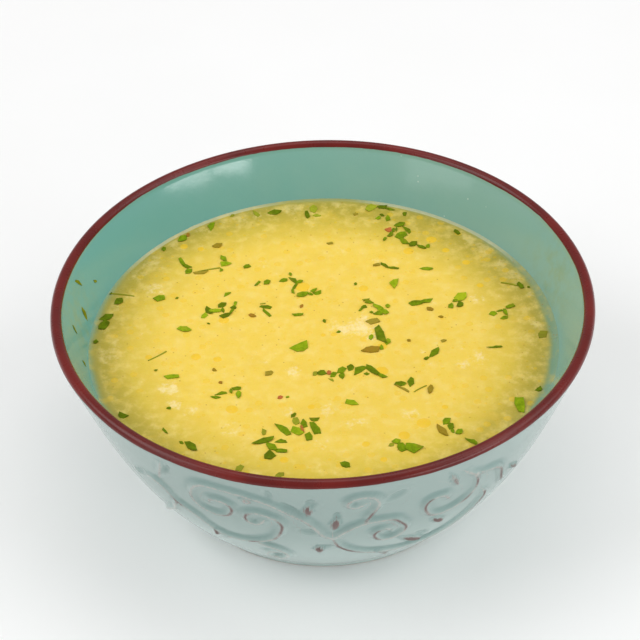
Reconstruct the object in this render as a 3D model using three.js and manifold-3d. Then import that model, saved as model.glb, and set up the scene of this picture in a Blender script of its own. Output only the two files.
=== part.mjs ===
// A stoneware soup bowl with a scrolled vine in relief round its outside, filled with a pale yellow
// vegetable soup that has chopped parsley on it. Millimetres, +Z up, the origin under the middle of
// the foot. The viewer stands at -Y, so a turn of 0 degrees round the wall is its front.
import * as THREE from "three";
import { mergeVertices } from "three/addons/utils/BufferGeometryUtils.js";
import Module from "manifold-3d";

// Driving sizes
const rimRadius = 80; // to the outside of the lip
const bowlHeight = 65.5;
const lipWidth = 3.4;
const footRadius = 47.5;
const footRingWidth = 4.6;
const footRecess = 3.2; // how far the middle of the underside stands off the table
const footTop = 3; // where the wall springs from the foot
const floorHeight = 8.5; // of the inside
const soupLevel = 48;
const soupGap = 0.35; // left between the soup and the glaze
const meniscusRise = 0.7;
const meniscusReach = 2.2;

// Relief on the outside
const repeats = 3; // of the vine round the bowl
const ridgeHeight = 0.9;
const ridgeHalfWidth = 1.05;
const ridgeSet = 0.25; // depth in the wall at which a ridge is widest
const ridgeRoot = 1; // depth of its lowest edge
const ridgeStep = 4.4; // between the facets along a ridge
const ridgeRun = 3; // facets in each length
const ridgeEnd = 4; // length over which a ridge thins out
const seedHeight = 0.8;
const leafDepth = 0.7;

// Facets
const roundFacets = 52;
const wallSteps = 7;
const insideSteps = 8;
const lipSteps = 4;
const seedFacets = 5;
const leafFacets = 6;

// Parsley
const flakeThickness = 0.45;
const flakeSunk = 0.25;

// ---------------------------------------------------------------- the bowl's profile

// Radius and height, from the foot to just under the lip, outside and inside.
const wallOutside = new THREE.CubicBezierCurve(
  new THREE.Vector2(49.2, footTop),
  new THREE.Vector2(66.5, 22.3),
  new THREE.Vector2(71.6, 41.6),
  new THREE.Vector2(rimRadius, bowlHeight - 1.8),
);
const wallInside = new THREE.CubicBezierCurve(
  new THREE.Vector2(28, floorHeight),
  new THREE.Vector2(62, floorHeight + 0.5),
  new THREE.Vector2(66.5, 44),
  new THREE.Vector2(rimRadius - lipWidth, bowlHeight - 1.8),
);
wallOutside.arcLengthDivisions = 800;

// The lip is half an ellipse from the outer wall over to the inner one.
function lipProfile() {
  const from = wallOutside.getPoint(1);
  const to = wallInside.getPoint(1);
  const middle = from.clone().add(to).multiplyScalar(0.5);
  const across = from.clone().sub(middle);
  const up = new THREE.Vector2(0, bowlHeight - middle.y);
  const points = [];
  for (let i = 1; i < lipSteps; i++) {
    const angle = (i / lipSteps) * Math.PI;
    points.push(
      middle
        .clone()
        .addScaledVector(across, Math.cos(angle))
        .addScaledVector(up, Math.sin(angle)),
    );
  }
  return points;
}

function footProfile() {
  const ringInside = footRadius - footRingWidth;
  return [
    new THREE.Vector2(0, footRecess),
    new THREE.Vector2(ringInside - 1.6, footRecess),
    new THREE.Vector2(ringInside, 0),
    new THREE.Vector2(footRadius - 0.6, 0),
    new THREE.Vector2(footRadius, 0.6),
    new THREE.Vector2(footRadius + 0.2, footTop - 0.8),
  ];
}

// A closed profile of radius and height turned about Z.
function turned(profile) {
  return new THREE.LatheGeometry(profile, roundFacets).rotateX(Math.PI / 2);
}

function bowlBody() {
  const profile = [
    ...footProfile(),
    ...wallOutside.getSpacedPoints(wallSteps),
    ...lipProfile(),
    ...wallInside.getSpacedPoints(insideSteps).reverse(),
    new THREE.Vector2(0, floorHeight),
  ];
  return turned(profile);
}

// ---------------------------------------------------------------- places on the outside wall

const wallLength = wallOutside.getLength();

// The wall at a turn in degrees from the front, and a rise in millimetres up the wall from the foot.
function wallAt(turn, rise) {
  const share = THREE.MathUtils.clamp(rise / wallLength, 0, 1);
  const { x: radius, y: height } = wallOutside.getPointAt(share);
  const slope = wallOutside.getTangentAt(share);
  const angle = THREE.MathUtils.degToRad(turn);
  const out = new THREE.Vector3(Math.sin(angle), -Math.cos(angle), 0);
  return {
    point: out.clone().multiplyScalar(radius).setZ(height),
    normal: out.clone().multiplyScalar(slope.y).setZ(-slope.x),
    up: out.clone().multiplyScalar(slope.x).setZ(slope.y),
    along: new THREE.Vector3(Math.cos(angle), Math.sin(angle), 0),
  };
}

// ---------------------------------------------------------------- the vine

// Each stem runs through guide points on the wall, a turn and a rise each.
const stems = [
  [
    [-43.4, 49.1], [-41.8, 50], [-40.2, 49.8], [-38.6, 47.4], [-37.7, 44.7], [-36.9, 42.2],
    [-35, 40], [-32.6, 37.4], [-30.6, 33.6], [-28.9, 30.9], [-26.5, 29], [-23.6, 28.4],
    [-21, 28.9], [-18.9, 29.9], [-15.9, 31.9], [-13.4, 34.5], [-11.7, 37.8], [-10.6, 42.2],
    [-10.3, 45.6], [-11.3, 48.6], [-13.1, 50.5], [-15.4, 51.4], [-17.5, 50.2], [-18.3, 47.2],
    [-17.6, 44.6], [-15.8, 44], [-14.5, 45.8],
  ],
  [
    [0.9, 36.2], [-0.8, 38.6], [-1.9, 41.3], [-3.3, 45.2], [-5.4, 49.7], [-7.5, 52.4],
    [-9.6, 55.2], [-12.9, 58.8], [-17.1, 61.1], [-20, 61.8], [-23.3, 62.1], [-25.8, 61.9],
    [-28.2, 59.4], [-29.8, 54.9], [-30.3, 50.6], [-29.2, 46.4], [-26, 44.6], [-22.8, 45.9],
    [-21.1, 49.6], [-21.3, 52.8], [-23.4, 54.4], [-25.6, 53.4], [-26.2, 51.3],
  ],
  [
    [0.9, 36.2], [1.5, 33.6], [2.3, 31], [4.2, 27.6], [6.9, 24.7], [10, 22.4], [14, 20.6],
    [20, 19], [27, 19.6], [33.5, 23.4], [38, 30], [39.7, 37.6], [38.8, 40.5],
  ],
  [
    [1.1, 36.4], [3.2, 40.9], [5.5, 44], [8, 46], [11.4, 46.6], [14.5, 45.7], [16.4, 42.7],
    [17.9, 39.2], [17.9, 35.8], [16.2, 32.9], [13.6, 32], [11.4, 33.9], [10.5, 37], [11.3, 39.4],
    [13.2, 39.8], [14.1, 38.4],
  ],
  [
    [8, 46.2], [8.3, 48.4], [9, 51.2], [9.8, 54], [10.4, 57], [10.1, 60], [8.7, 62.4], [6.4, 62.9],
    [4.3, 61], [4, 58.4], [5.6, 56.7], [7.3, 57.6],
  ],
  [
    [29.6, 61.2], [31.6, 58.6], [33, 55.6], [33.9, 51.6], [34, 47.6], [32.9, 44.2], [30.5, 41.4],
    [26.8, 40.4], [23.8, 41.8], [22, 45.4], [21.4, 49.2], [22, 51.9], [23.8, 52.8], [25.6, 51.9],
    [27, 48.8],
  ],
  [
    [32.2, 58], [35, 56.6], [38, 55.2], [39.8, 53.1], [41, 50.6], [41.8, 47.8], [42.8, 44.6],
    [43.9, 41.7], [44.9, 39.2],
  ],
  [
    [-18.8, 28.8], [-15.8, 27.6], [-13.2, 25.6], [-11.4, 22.6], [-11, 19.6], [-12.4, 16.9],
    [-14.8, 16], [-16.8, 17.8], [-16.3, 20.4], [-14.4, 21],
  ],
  [
    [-37, 41.4], [-37.9, 39], [-38.8, 37], [-40.4, 33], [-43.3, 29.1], [-47.5, 23.5],
    [-51.7, 17.4], [-55.8, 12.4], [-59, 8],
  ],
  [
    [-38.5, 54], [-37.2, 57.5], [-36.2, 61], [-35.4, 64.5],
  ],
];

// Raised seeds and sunk leaves: turn, rise, length, width, and the lean in degrees from level.
const seeds = [
  [-4.2, 55.3, 4.8, 1.9, 90],
  [1.5, 46.3, 6.4, 2, 84],
  [-2.5, 27.2, 4.4, 2.1, 96],
  [27.2, 34.2, 5.4, 2.1, -46],
  [22, 24.6, 9, 2.2, -44],
  [27, 58.9, 7.8, 1.5, -66],
  [-29.6, 27.2, 5.2, 1.5, 80],
  [14.8, 17.4, 7, 1.4, -57],
  [48, 43.4, 6.4, 1.5, -44],
  [-16.9, 57.7, 3.4, 2.6, 60],
];
const leaves = [
  [-11.9, 63.5, 6, 2.8, 97],
  [-4.6, 41.2, 6.6, 4, -28],
  [14, 60.2, 8.2, 3.8, 44],
  [-7.7, 55.8, 10.5, 3, 126],
  [-34.4, 62.4, 7, 2.6, 66],
  [-27.3, 26.6, 6.5, 3.4, 66],
  [-0.9, 29.8, 5.4, 3, -18],
  [-46.2, 48.2, 7.4, 3.6, 44],
  [-3.4, 59.8, 5.6, 4, 90],
  [1.8, 51.8, 4.6, 2.8, 88],
  [24.2, 27, 7, 3, -45],
  [14, 35.8, 2.6, 2.2, 0],
  [-14.6, 17.2, 3.4, 2.6, 60],
];

// The stem's line as even places on the wall, each a turn and a rise.
function stemLine(guides) {
  const flat = guides.map(([turn, rise]) => new THREE.Vector3(turn, rise, 0));
  const curve = new THREE.CatmullRomCurve3(flat, false, "centripetal");
  const count = Math.round(curve.getLength() / ridgeStep);
  return curve.getSpacedPoints(count).map(({ x, y }) => [x, y]);
}

// A closed solid through rings of as many points each, capped by its end rings.
function lofted(rings) {
  const sides = rings[0].length;
  const positions = rings.flat().flatMap((p) => [p.x, p.y, p.z]);
  const faces = [];
  for (let ring = 0; ring < rings.length - 1; ring++) {
    for (let side = 0; side < sides; side++) {
      const a = ring * sides + side;
      const b = ring * sides + ((side + 1) % sides);
      faces.push(a, b, b + sides, a, b + sides, a + sides);
    }
  }
  const last = (rings.length - 1) * sides;
  for (let side = 1; side < sides - 1; side++) {
    faces.push(0, side + 1, side, last, last + side, last + side + 1);
  }
  const geometry = new THREE.BufferGeometry();
  geometry.setAttribute("position", new THREE.Float32BufferAttribute(positions, 3));
  geometry.setIndex(faces);
  return geometry;
}

// A ridge of kite-shaped section along a stem, set in the wall, thin at its start. It comes in
// short lengths end to end, so that no length overlaps itself in a volute.
function ridgeLengths(stem, turnedBy) {
  const places = stemLine(stem).map(([turn, rise]) => wallAt(turn + turnedBy, rise));
  const rings = places.map((place, i) => {
    const before = places[Math.max(i - 1, 0)].point;
    const after = places[Math.min(i + 1, places.length - 1)].point;
    const forward = after.clone().sub(before).normalize();
    const side = forward.clone().cross(place.normal).normalize();
    const fromEnd = Math.min(i, places.length - 1 - i) * ridgeStep;
    const full = THREE.MathUtils.lerp(0.45, 1, Math.min(fromEnd / ridgeEnd, 1));
    const corner = (aside, stand) =>
      place.point.clone().addScaledVector(side, aside).addScaledVector(place.normal, stand);
    return [
      corner(0, -ridgeRoot),
      corner(-ridgeHalfWidth * full, -ridgeSet),
      corner(0, ridgeHeight * full),
      corner(ridgeHalfWidth * full, -ridgeSet),
    ];
  });
  const lengths = [];
  for (let i = 0; i < rings.length - 1; i += ridgeRun) {
    lengths.push(lofted(rings.slice(i, i + ridgeRun + 1)));
  }
  return lengths;
}

// An egg shape lying on the wall: length and width along it, and how far it stands proud of it.
function egg([turn, rise, length, width, lean], proud, facets, turnedBy) {
  const place = wallAt(turn + turnedBy, rise);
  const angle = THREE.MathUtils.degToRad(lean);
  const long = place.along
    .clone()
    .multiplyScalar(Math.cos(angle))
    .addScaledVector(place.up, Math.sin(angle));
  const wide = place.normal.clone().cross(long);
  const frame = new THREE.Matrix4()
    .makeBasis(
      long.multiplyScalar(length / 2),
      wide.multiplyScalar(width / 2),
      place.normal.clone().multiplyScalar(proud),
    )
    .setPosition(place.point);
  return new THREE.SphereGeometry(1, facets, 3).rotateX(Math.PI / 2).applyMatrix4(frame);
}

// ---------------------------------------------------------------- solids

const wasm = await Module();
wasm.setup();

function solid(geometry) {
  const bare = geometry.clone();
  bare.deleteAttribute("normal");
  bare.deleteAttribute("uv");
  const merged = mergeVertices(bare, 1e-4);
  return new wasm.Manifold(
    new wasm.Mesh({
      numProp: 3,
      vertProperties: merged.attributes.position.array,
      triVerts: new Uint32Array(merged.index.array),
    }),
  );
}

function drawn(manifold) {
  const mesh = manifold.getMesh();
  const geometry = new THREE.BufferGeometry();
  geometry.setAttribute("position", new THREE.BufferAttribute(mesh.vertProperties, 3));
  geometry.setIndex(new THREE.BufferAttribute(mesh.triVerts, 1));
  geometry.computeVertexNormals();
  return geometry;
}

const joined = (solids) => wasm.Manifold.union(solids);

function bowlGeometry() {
  const turns = Array.from({ length: repeats }, (_, i) => (i * 360) / repeats);
  const raised = turns.flatMap((turn) => [
    ...stems.flatMap((stem) => ridgeLengths(stem, turn).map(solid)),
    ...seeds.map((seed) => solid(egg(seed, seedHeight, seedFacets, turn))),
  ]);
  const sunk = turns.flatMap((turn) =>
    leaves.map((leaf) => solid(egg(leaf, leafDepth, leafFacets, turn))),
  );
  return drawn(joined([solid(bowlBody()).subtract(joined(sunk)), ...raised]));
}

// ---------------------------------------------------------------- the soup

// The same even spread of numbers from 0 to 1 for the same whole number.
function chance(n) {
  const spread = Math.sin(n * 12.9898 + 4.1) * 43758.5453;
  return spread - Math.floor(spread);
}

// The inside of the wall, moved in and up by the gap, from the middle to where it meets a height.
function soupSide(top) {
  const wall = wallInside
    .getSpacedPoints(insideSteps)
    .map(({ x, y }) => new THREE.Vector2(x - soupGap, y + soupGap));
  const above = wall.findIndex(({ y }) => y > top);
  const [below, beyond] = [wall[above - 1], wall[above]];
  const edge = below.clone().lerp(beyond, (top - below.y) / (beyond.y - below.y));
  return [new THREE.Vector2(0, floorHeight + soupGap), ...wall.slice(0, above), edge];
}

function soupBody() {
  const side = soupSide(soupLevel + meniscusRise);
  const edge = side.at(-1).x;
  return turned([
    ...side,
    new THREE.Vector2(edge - meniscusReach * 0.4, soupLevel + meniscusRise * 0.25),
    new THREE.Vector2(edge - meniscusReach, soupLevel),
    new THREE.Vector2(0, soupLevel),
  ]);
}

// Pieces of chopped parsley, then browned scraps: x, y, length, width and heading.
const flakes = [
  [-43.9, 51.4, 3.3, 2.4, 35], [-34.7, 57.2, 3.8, 2.2, 95], [-14.5, 64, 4.2, 2.5, 15],
  [-4, 62.3, 3.6, 1.4, 90], [20.2, 65.2, 2.8, 1.6, 0], [22.6, 64, 3, 0.9, -25],
  [21.8, 59.3, 2.8, 1.5, 80], [43.2, 51.1, 2.4, 1.2, -50], [61, 23.4, 3, 1.4, -65],
  [25.3, 55.8, 3.2, 2.1, 5], [27.4, 53.1, 3.8, 1.7, -48], [25.5, 50, 3.6, 2.8, 10],
  [26.3, 46.9, 3.6, 1.8, -62], [29.1, 45.6, 2.8, 2.2, 20], [31.6, 44, 3.2, 1.3, -25],
  [22.3, 50.6, 2.5, 1.3, 60], [19.5, 35.4, 2.8, 1, -45], [22, 33.8, 3.8, 0.9, -15],
  [32.6, 32.9, 3.7, 1.4, -12], [22.4, 25.7, 4, 2.7, 95], [-43.5, 39.5, 3.8, 1.3, 105],
  [-42, 37.2, 3, 1.4, -35], [-41.3, 34.8, 2.3, 2.1, 20], [-30.6, 40.9, 2.8, 1.6, -40],
  [-29.8, 37.9, 3.2, 2.2, -10], [-19.9, 27.6, 2.4, 0.8, 60], [-17, 28.2, 2.2, 1.7, 70],
  [-11.9, 29.1, 2.3, 1.6, 0], [-9, 29.2, 3, 1.8, -35], [-8.3, 25.8, 3.4, 0.9, 62],
  [-6, 21.9, 3.4, 2.4, 5], [-2.4, 23.7, 2.2, 1.3, 30], [-1.3, 22.3, 2.6, 1.4, 25],
  [-17.3, 16.2, 3.4, 1.3, -10], [-17.1, 13.6, 4, 0.9, -55], [-7.6, 12.2, 3.1, 1.1, 5],
  [-29.3, 22.8, 2.4, 1.4, 60], [-34.6, 15.2, 3.6, 2.2, -60], [-32.8, 15, 3.6, 1.7, -12],
  [-35.8, 12.9, 2.6, 1.5, 60], [-30.6, 17.8, 2.6, 2, 15], [-30.3, 15.3, 2.2, 0.8, -70],
  [-29.3, 12.7, 3.6, 2, 20], [-50, 21.9, 3.2, 2.3, 20], [-62.5, 20.9, 3, 2.5, 30],
  [-65.6, 13.4, 4.2, 2.6, 30], [-66.3, 9.5, 3.8, 3, 40], [-41.8, 6.8, 3.8, 2.2, -28],
  [14.2, 17.2, 2.6, 1.5, -30], [16.8, 14.9, 3.6, 1.4, -38], [18.4, 12.8, 3.4, 1.9, -52],
  [16.6, 11.6, 2.4, 1.8, 15], [28.4, 16.1, 3.8, 2.2, -5], [31.8, 17, 3.8, 1.6, 12],
  [42.3, 18.6, 4.3, 3.2, 25], [39.2, 14.4, 2.3, 1.7, 60], [42, 14.9, 2.8, 1.7, 70],
  [57, 13.4, 2.8, 1.6, 35], [55.3, 10.5, 3, 1.1, 95], [54.8, 8.1, 2.3, 1.2, 10],
  [50.7, -5.5, 4.2, 0.9, 8], [32.8, -7.2, 4.7, 2, 55], [17, 1.6, 7.4, 2.5, -78],
  [19.1, -1.6, 2.5, 1.8, 100], [-6.8, -3.2, 5.4, 3.2, 28], [-0.8, -15, 2.3, 2.1, 30],
  [5, -14, 3, 2, 60], [7.6, -13, 2.6, 2, 60], [10.2, -14.4, 4.4, 2.8, 62], [14, -14.2, 5, 2, -60],
  [16.9, -17, 2.9, 1.3, -38], [22.1, -20.7, 3.1, 1.9, -10], [25.2, -20, 3.8, 1.8, 95],
  [7.6, -28.4, 3.8, 2.2, -38], [62.3, -24.8, 2.2, 1.4, 40], [56.2, -31.3, 6, 2.8, 98],
  [34.5, -37.5, 2.5, 1.9, 80], [35.6, -39.6, 2.3, 1.6, 90], [37.8, -41.9, 2.2, 1.8, 20],
  [41, -46, 3.6, 1.6, -25], [19.8, -45.3, 2.3, 1.9, 10], [21.3, -47.8, 3.2, 2.4, 80],
  [24.5, -48.2, 4.6, 3.4, -25], [5.2, -54.2, 2.8, 2.2, -60], [-6.2, -36.8, 3.4, 1.9, 85],
  [-3.2, -35.2, 2.6, 1.4, 0], [-3.2, -38.8, 5, 2.2, -65], [-5, -42.2, 2.9, 1.9, -75],
  [-8.3, -39.7, 3.8, 2.5, -40], [-12.2, -38.8, 5.6, 2, -58], [-18, -43.5, 6, 1.9, 15],
  [-13, -44, 3, 1.8, 15], [-15.6, -46, 4, 2.2, -45], [-13, -47.9, 3.4, 1.5, -20],
  [-16, -49.6, 3.2, 2.8, 60], [-38.3, -45, 4.6, 2.2, -62], [-46, -38.4, 2.7, 0.7, -60],
  [-58.6, -31.3, 3, 1.7, -35], [-45, -14.8, 3.9, 1.6, 10], [-25.8, -20.8, 2.5, 1.2, 5],
  [-25.2, -23.5, 3.1, 1.4, 82], [-30.4, -22.9, 3.3, 1.2, 22], [-31.8, -24.4, 2.7, 1.1, -5],
  [-2, 65.4, 3.7, 2.4, 75], [-1, 61.8, 2.4, 1.4, 10], [-20.4, 63.6, 3.5, 1.5, 115],
  [16.4, 65, 3.6, 2.8, 60], [65.6, -0.3, 3, 2.4, 80], [-24.6, -54.4, 2.3, 1.8, 60],
  [-13.5, -57.6, 2.6, 1.4, 10], [-8.5, -35.6, 2.9, 2, 80], [-17.7, -39.8, 2.4, 1.2, 90],
  [-32.6, 47.4, 3, 2.1, 25], [-37.5, 33.8, 4.2, 1.2, 5], [15, 8, 3.4, 2.2, 25],
  [13.9, -4.9, 4.7, 2.6, -8], [30.6, -23.6, 3.4, 1.5, 70], [22.5, -22.7, 4.6, 0.9, -35],
  [33, -41.2, 5, 2, -58], [-6.8, -39, 2.8, 0.8, -78], [-16.4, -14.5, 2.3, 1.9, 70],
];
// Cut stems: x, y, length and heading.
const stalks = [
  [-35, 35.3, 7.2, 13], [-61.4, 24, 7.6, 168], [57.6, 24.1, 5.2, 160], [27.8, -23.1, 4.6, 35],
  [-49.5, -5.3, 6.6, 37],
];

// A thin piece of leaf, wavy on top, with its underside sunk in the soup.
function flakeGeometry([x, y, length, width, heading], seed) {
  const corners = 5 + Math.floor(chance(seed + 40) * 2);
  const angle = THREE.MathUtils.degToRad(heading);
  const ring = (height) => {
    const points = [];
    for (let i = 0; i < corners; i++) {
      const round = (i / corners) * 2 * Math.PI;
      const reach = 0.38 + 0.2 * chance(seed * 7 + i);
      const long = Math.cos(round) * length * reach;
      const wide = Math.sin(round) * width * reach;
      const wave = height > 0 ? 0.2 * (chance(seed * 11 + i) - 0.5) : 0;
      points.push(
        new THREE.Vector3(
          x + long * Math.cos(angle) - wide * Math.sin(angle),
          y + long * Math.sin(angle) + wide * Math.cos(angle),
          soupLevel + height + wave,
        ),
      );
    }
    return points;
  };
  return lofted([ring(-flakeSunk), ring(flakeThickness - flakeSunk)]);
}

function stalkGeometry([x, y, length, heading]) {
  return new THREE.CylinderGeometry(0.3, 0.35, length, 5)
    .rotateZ(-Math.PI / 2)
    .rotateZ(THREE.MathUtils.degToRad(heading))
    .translate(x, y, soupLevel + 0.05);
}

function soupGeometry() {
  return drawn(
    joined([
      solid(soupBody()),
      ...flakes.map((flake, i) => solid(flakeGeometry(flake, i))),
      ...stalks.map((stalk) => solid(stalkGeometry(stalk))),
    ]),
  );
}

// ---------------------------------------------------------------- the object

const glaze = new THREE.MeshStandardMaterial({ color: "#86aaa6", roughness: 0.18, metalness: 0 });
const broth = new THREE.MeshStandardMaterial({ color: "#e6cf63", roughness: 0.25, metalness: 0 });

function part(name, geometry, material) {
  const mesh = new THREE.Mesh(geometry, material);
  mesh.name = name;
  return mesh;
}

const servedSoup = new THREE.Group();
servedSoup.add(part("bowl", bowlGeometry(), glaze));
servedSoup.add(part("soup", soupGeometry(), broth));

export default servedSoup;
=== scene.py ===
"""A stoneware bowl of yellow vegetable soup with chopped parsley on it.

The bowl stands on the origin and its viewer is at -Y. Shapes are worked out in millimetres and
made in metres. A place on the bowl's outside is a turn in degrees, from the front and to the
right, and a rise in millimetres up the wall from the foot.
"""

import math

import bpy
import numpy as np
from mathutils import Matrix, Vector, noise


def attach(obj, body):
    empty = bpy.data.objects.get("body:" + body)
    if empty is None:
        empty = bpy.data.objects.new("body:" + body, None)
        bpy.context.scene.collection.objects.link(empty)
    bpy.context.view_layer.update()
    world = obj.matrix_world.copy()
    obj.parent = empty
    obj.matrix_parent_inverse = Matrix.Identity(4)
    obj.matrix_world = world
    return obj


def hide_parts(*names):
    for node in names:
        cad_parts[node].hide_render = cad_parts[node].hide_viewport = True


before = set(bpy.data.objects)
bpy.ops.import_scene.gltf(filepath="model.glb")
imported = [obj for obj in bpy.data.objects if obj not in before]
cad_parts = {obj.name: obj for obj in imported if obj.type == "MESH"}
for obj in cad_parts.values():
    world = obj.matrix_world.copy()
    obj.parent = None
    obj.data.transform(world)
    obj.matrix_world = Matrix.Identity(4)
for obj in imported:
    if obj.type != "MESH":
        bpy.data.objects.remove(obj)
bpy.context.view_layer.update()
scene = bpy.context.scene
mm = 0.001

# ---------------------------------------------------------------- sizes of the bowl and its soup

rim_radius = 80
bowl_height = 65.5
lip_width = 3.4
wall_top = bowl_height - 1.8  # where the rounded lip begins
foot_radius = 47.5
foot_ring_width = 4.6
foot_recess = 3.2
foot_top = 3
floor_height = 8.5
soup_level = 48
meniscus_rise = 0.7
meniscus_reach = 2.2
soup_sunk = 0.15  # how far the soup runs into the glaze, so that no gap shows
# The ends and bends of the wall's two curves, each a radius and a height
outside_bends = [(49.2, foot_top), (66.5, 22.3), (71.6, 41.6), (rim_radius, wall_top)]
inside_bends = [(28, floor_height), (62, floor_height + 0.5), (66.5, 44),
                (rim_radius - lip_width, wall_top)]

bend_points = 4000  # along a curve before it is cut into equal lengths
wall_steps = 1000
bowl_turns = 640  # steps round the bowl
soup_turns = 480
slack = 0.01  # within which a corner counts as on a surface
weld = 0.004  # within which corners become one
far_away = 9.0  # a distance with nothing to show

# ---------------------------------------------------------------- camera

sensor_width = 36
view_lens = 123.9
view_elevation = math.radians(39.83)
view_roll = math.radians(-1.56)
view_distance = 648  # from the middle of the lip, along the view
view_aside, view_below = 0.86, 7.38  # of the middle of the picture from the middle of the lip
view_limit = 20  # in metres


def add_camera():
    data = bpy.data.cameras.new("camera")
    data.lens = view_lens
    data.sensor_width = sensor_width
    data.clip_end = view_limit
    camera = bpy.data.objects.new("camera", data)
    scene.collection.objects.link(camera)
    rise, run = math.sin(view_elevation), math.cos(view_elevation)
    back = view_distance * run + view_below * rise
    up = bowl_height + view_distance * rise - view_below * run
    tipped = Matrix.Rotation(math.pi / 2 - view_elevation, 4, "X")
    turn = tipped @ Matrix.Rotation(view_roll, 4, "Z")
    camera.matrix_world = Matrix.Translation(Vector((-view_aside, -back, up)) * mm) @ turn
    scene.camera = camera


add_camera()

# ---------------------------------------------------------------- profiles


def bezier(bends):
    """A fine line along the curve from the first bend to the last."""
    a, b, c, d = (np.array(bend, float) for bend in bends)
    t = np.linspace(0, 1, bend_points)[:, None]
    return (1 - t) ** 3 * a + 3 * (1 - t) ** 2 * t * b + 3 * (1 - t) * t**2 * c + t**3 * d


def along_line(line):
    """How far along the line each of its points is, by its first two columns."""
    return np.concatenate([[0], np.cumsum(np.hypot(*np.diff(line, axis=0).T[:2]))])


def spaced(line, count):
    """The line through the same shape, cut into count equal lengths."""
    gone = along_line(line)
    wanted = np.linspace(0, gone[-1], count + 1)
    return np.stack([np.interp(wanted, gone, column) for column in line.T], axis=1)


wall_outside = spaced(bezier(outside_bends), wall_steps)
wall_inside = spaced(bezier(inside_bends), wall_steps)
wall_length = along_line(wall_outside)[-1]
wall_rises = np.linspace(0, wall_length, wall_steps + 1)


def wall_radius(rise):
    return np.interp(rise, wall_rises, wall_outside[:, 0])


def outside_radius(height):
    return np.interp(height, wall_outside[:, 1], wall_outside[:, 0])


def inside_radius(height):
    return np.interp(height, wall_inside[:, 1], wall_inside[:, 0])


def arc(middle, across, up, first, last, count):
    """Points on an arc of an ellipse, its angles in degrees from outwards to upwards."""
    angles = np.radians(np.linspace(first, last, count))
    return np.stack([middle[0] + across * np.cos(angles), middle[1] + up * np.sin(angles)], axis=1)


def ease(low, high, values):
    """0 below low and 1 above high, with a smooth way between."""
    share = np.clip((values - low) / (high - low), 0, 1)
    return share * share * (3 - 2 * share)


def bell(values, middle, width):
    """1 at the middle, falling off smoothly to either side."""
    return np.exp(-(((values - middle) / width) ** 2))


def chance(n):
    """The same even spread from 0 to 1 for the same number."""
    spread_out = math.sin(n * 12.9898 + 4.1) * 43758.5453
    return spread_out - math.floor(spread_out)


# ---------------------------------------------------------------- making meshes


def only(piece):
    bpy.ops.object.select_all(action="DESELECT")
    piece.select_set(True)
    bpy.context.view_layer.objects.active = piece


def spun(name, profile, turns):
    """A solid with the profile, radius and height from axis to axis, spun about Z."""
    mesh = bpy.data.meshes.new(name)
    corners = [(radius * mm, 0, height * mm) for radius, height in profile]
    mesh.from_pydata(corners, [(i, i + 1) for i in range(len(corners) - 1)], [])
    piece = bpy.data.objects.new(name, mesh)
    scene.collection.objects.link(piece)
    only(piece)
    screw = piece.modifiers.new("turning", "SCREW")
    screw.steps = screw.render_steps = turns
    screw.use_merge_vertices = True
    screw.merge_threshold = weld * mm
    bpy.ops.object.modifier_apply(modifier="turning")
    bpy.ops.object.mode_set(mode="EDIT")
    bpy.ops.mesh.select_all(action="SELECT")
    bpy.ops.mesh.remove_doubles(threshold=weld * mm)
    bpy.ops.mesh.normals_make_consistent(inside=False)
    bpy.ops.object.mode_set(mode="OBJECT")
    bpy.ops.object.shade_smooth()
    return piece


def cut_finer(piece, cuts, **unevenness):
    """The piece with each of its edges cut into cuts + 1."""
    only(piece)
    bpy.ops.object.mode_set(mode="EDIT")
    bpy.ops.mesh.select_all(action="SELECT")
    bpy.ops.mesh.subdivide(number_cuts=cuts, **unevenness)
    bpy.ops.object.mode_set(mode="OBJECT")


def joined(name, pieces):
    bpy.ops.object.select_all(action="DESELECT")
    for piece in pieces:
        piece.select_set(True)
    bpy.context.view_layer.objects.active = pieces[0]
    bpy.ops.object.join()
    whole = bpy.context.object
    whole.name = name
    whole.data.name = name
    bpy.ops.object.shade_smooth_by_angle(angle=math.radians(40))
    return whole


def corners_of(piece):
    """The piece's corners in millimetres."""
    flat = np.zeros(len(piece.data.vertices) * 3)
    piece.data.vertices.foreach_get("co", flat)
    return flat.reshape(-1, 3) / mm


def move_corners(piece, places):
    piece.data.vertices.foreach_set("co", (places * mm).ravel())
    piece.data.update()


def paint(piece, **painted):
    """Numbers for the piece's finish to read, one at each corner or the same at all of them."""
    for name, values in painted.items():
        layer = piece.data.attributes.new(name, "FLOAT", "POINT")
        everywhere = np.broadcast_to(np.asarray(values, np.float32), len(piece.data.vertices))
        layer.data.foreach_set("value", np.ascontiguousarray(everywhere))


# ---------------------------------------------------------------- the vine in relief

repeats = 3  # of the vine round the bowl
ridge_height = 0.95
ridge_half_width = 1.55
ridge_end = 4  # length over which a ridge grows to its full height
ridge_start = 0.45  # its height at the very end, as a share
seed_height = 0.9
leaf_depth = 0.42
leaf_rim = 0.2
pool_offset, pool_width = 1.9, 1.5  # of the glaze that pools beside a ridge
stem_spacing = 0.3
guide_steps = 24

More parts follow.
